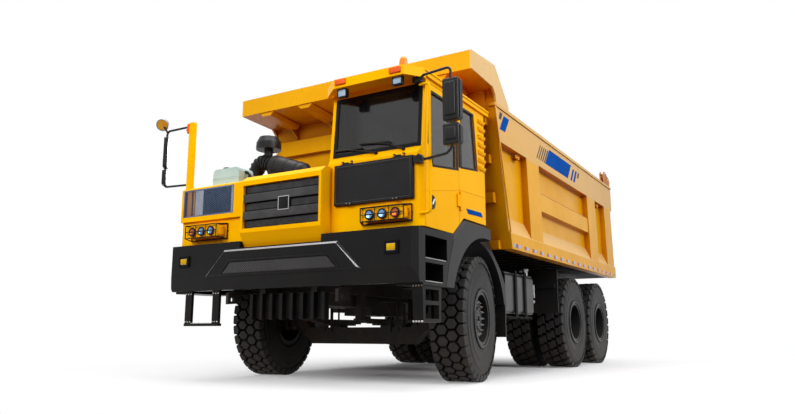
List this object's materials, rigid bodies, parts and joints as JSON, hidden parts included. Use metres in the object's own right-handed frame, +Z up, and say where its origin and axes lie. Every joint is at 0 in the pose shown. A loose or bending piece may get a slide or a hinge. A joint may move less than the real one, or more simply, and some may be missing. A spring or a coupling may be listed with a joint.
{
  "type": "mining dump truck",
  "caption": "Heavy mining dump truck with an offset one-seat cab, a rear-tipping steel body with a canopy, twin rear wheels and a telescopic hoist.",
  "frame": {"origin": "on the ground under the middle of the truck's bounding box", "axes": "+Y to the rear, +X to the truck's left (the cab's side), +Z up"},
  "size_m": [4.8082, 8.93, 4.322],
  "materials": {
    "yellow_paint": "semi-gloss",
    "charcoal_paint": "satin",
    "chassis_paint": "satin",
    "grille_black": "satin",
    "black_plastic": "matte",
    "lamp_lens": "gloss",
    "black_steel": "satin",
    "roof_lamp_amber": "gloss",
    "cab_window_glass": "clear",
    "interior_plastic": "matte",
    "seat_fabric": "woven",
    "engine_casting": "cast",
    "pale_tank": "satin",
    "tank_grey": "satin",
    "mudguard_black": "matte",
    "spring_steel": "satin",
    "pad_rubber": "matte",
    "cast_steel": "cast",
    "tyre_rubber": "matte",
    "wheel_rim": "satin",
    "hoist_chrome": "polished"
  },
  "bodies": {
    "chassis": {"chassis_frame": "chassis_paint", "front_bumper": "charcoal_paint", "front_grilles": "grille_black", "front_hood": "yellow_paint", "side_radiator_housing": "yellow_paint", "right_deck": "yellow_paint", "headlamp_pods": "yellow_paint", "front_lamps": "lamp_lens", "lamp_guards": "black_steel", "roof_lamps": "roof_lamp_amber", "cab_shell": "yellow_paint", "cab_glass": "cab_window_glass", "cab_interior": "interior_plastic", "left_mirrors": "black_plastic", "right_mirrors": "black_plastic", "driver_seat": "seat_fabric", "engine_block": "engine_casting", "driveline": "chassis_paint", "air_intake": "black_plastic", "expansion_tank": "pale_tank", "fuel_tank": "tank_grey", "battery_box": "charcoal_paint", "mudguards": "mudguard_black", "steps_and_guard": "charcoal_paint", "front_axle": "chassis_paint", "rear_axles": "chassis_paint", "leaf_springs": "spring_steel", "body_rest_pads": "pad_rubber"},
    "cab_door": {"cab_door": "yellow_paint", "door_glass": "cab_window_glass"},
    "front_lid": {"cab_front_lid": "charcoal_paint"},
    "left_steering_knuckle": {"left_knuckle": "cast_steel"},
    "right_steering_knuckle": {"right_knuckle": "cast_steel"},
    "tie_rod": {"track_rod": "cast_steel"},
    "front_left_wheel": {"front_left_tyre": "tyre_rubber", "front_left_rim": "wheel_rim"},
    "front_right_wheel": {"front_right_tyre": "tyre_rubber", "front_right_rim": "wheel_rim"},
    "middle_left_wheels": {"middle_left_tyres": "tyre_rubber", "middle_left_rims": "wheel_rim"},
    "middle_right_wheels": {"middle_right_tyres": "tyre_rubber", "middle_right_rims": "wheel_rim"},
    "rear_left_wheels": {"rear_left_tyres": "tyre_rubber", "rear_left_rims": "wheel_rim"},
    "rear_right_wheels": {"rear_right_tyres": "tyre_rubber", "rear_right_rims": "wheel_rim"},
    "dump_body": {"bed_floor": "yellow_paint", "bed_sides": "yellow_paint", "bed_front_wall": "yellow_paint", "bed_canopy": "yellow_paint"},
    "tailgate": {"tailgate": "yellow_paint"},
    "hoist_barrel": {"hoist_barrel": "chassis_paint"},
    "hoist_stage_1": {"hoist_stage_1": "hoist_chrome"},
    "hoist_stage_2": {"hoist_stage_2": "hoist_chrome"},
    "hoist_stage_3": {"hoist_stage_3": "hoist_chrome"},
    "hoist_rod": {"hoist_rod": "hoist_chrome"}
  },
  "joints": [
    {"name": "left_steering", "type": "hinge", "parent": "chassis", "child": "left_steering_knuckle", "pos_m": [1.24, -2.485, 0.8075], "axis": [0, 0, 1], "range_deg": [-40, 24]},
    {"name": "right_steering", "type": "hinge", "parent": "chassis", "child": "right_steering_knuckle", "pos_m": [-1.24, -2.485, 0.8075], "axis": [0, 0, 1], "range_deg": [-40, 24]},
    {"name": "tie_rod_swing", "type": "hinge", "parent": "left_steering_knuckle", "child": "tie_rod", "pos_m": [1.19825, -2.18792, 0.686], "axis": [0, 0, 1], "range_deg": [-24, 40]},
    {"name": "front_left_spin", "type": "hinge", "parent": "left_steering_knuckle", "child": "front_left_wheel", "pos_m": [1.56481, -2.43935, 0.8075], "axis": [0.9903, 0.1392, 0], "continuous": true},
    {"name": "front_right_spin", "type": "hinge", "parent": "right_steering_knuckle", "child": "front_right_wheel", "pos_m": [-1.56481, -2.53065, 0.8075], "axis": [0.9903, 0.1392, 0], "continuous": true},
    {"name": "middle_left_spin", "type": "hinge", "parent": "chassis", "child": "middle_left_wheels", "pos_m": [1.276, 1.815, 0.8075], "axis": [1, 0, 0], "continuous": true},
    {"name": "middle_right_spin", "type": "hinge", "parent": "chassis", "child": "middle_right_wheels", "pos_m": [-1.276, 1.815, 0.8075], "axis": [1, 0, 0], "continuous": true},
    {"name": "rear_left_spin", "type": "hinge", "parent": "chassis", "child": "rear_left_wheels", "pos_m": [1.276, 3.545, 0.8075], "axis": [1, 0, 0], "continuous": true},
    {"name": "rear_right_spin", "type": "hinge", "parent": "chassis", "child": "rear_right_wheels", "pos_m": [-1.276, 3.545, 0.8075], "axis": [1, 0, 0], "continuous": true},
    {"name": "cab_door_swing", "type": "hinge", "parent": "chassis", "child": "cab_door", "pos_m": [1.896, -3.211, 2.7], "axis": [0, 0, 1], "range_deg": [0, 75]},
    {"name": "front_lid_lift", "type": "hinge", "parent": "chassis", "child": "front_lid", "pos_m": [1.2415, -4.201, 2.62], "axis": [-1, 0, 0], "range_deg": [0, 85]},
    {"name": "body_tip", "type": "hinge", "parent": "chassis", "child": "dump_body", "pos_m": [0, 4.065, 1.42], "axis": [-1, 0, 0], "range_deg": [0, 45]},
    {"name": "tailgate_swing", "type": "hinge", "parent": "dump_body", "child": "tailgate", "pos_m": [0, 4.215, 3.9], "axis": [1, 0, 0], "range_deg": [0, 60]},
    {"name": "hoist_tilt", "type": "hinge", "parent": "chassis", "child": "hoist_barrel", "pos_m": [0, -2.285, 1.15], "axis": [-1, 0, 0], "range_deg": [0, 27.61]},
    {"name": "hoist_stage_1_slide", "type": "slide", "parent": "hoist_barrel", "child": "hoist_stage_1", "axis": [0, -0.0103, 0.9999], "range_m": [0, 1.18538]},
    {"name": "hoist_stage_2_slide", "type": "slide", "parent": "hoist_stage_1", "child": "hoist_stage_2", "axis": [0, -0.0103, 0.9999], "range_m": [0, 1.18538]},
    {"name": "hoist_stage_3_slide", "type": "slide", "parent": "hoist_stage_2", "child": "hoist_stage_3", "axis": [0, -0.0103, 0.9999], "range_m": [0, 1.18538]},
    {"name": "hoist_rod_slide", "type": "slide", "parent": "hoist_stage_3", "child": "hoist_rod", "axis": [0, -0.0103, 0.9999], "range_m": [0, 1.18538]}
  ],
  "couplings": [
    {"joint": "right_steering", "follows": "left_steering", "ratio": 1},
    {"joint": "tie_rod_swing", "follows": "left_steering", "ratio": -1},
    {"joint": "hoist_tilt", "follows": "body_tip", "ratio": 0.61234},
    {"joint": "hoist_stage_1_slide", "follows": "body_tip", "m_per_rad": 1.5086},
    {"joint": "hoist_stage_2_slide", "follows": "body_tip", "m_per_rad": 1.5086},
    {"joint": "hoist_stage_3_slide", "follows": "body_tip", "m_per_rad": 1.5086},
    {"joint": "hoist_rod_slide", "follows": "body_tip", "m_per_rad": 1.5086}
  ]
}
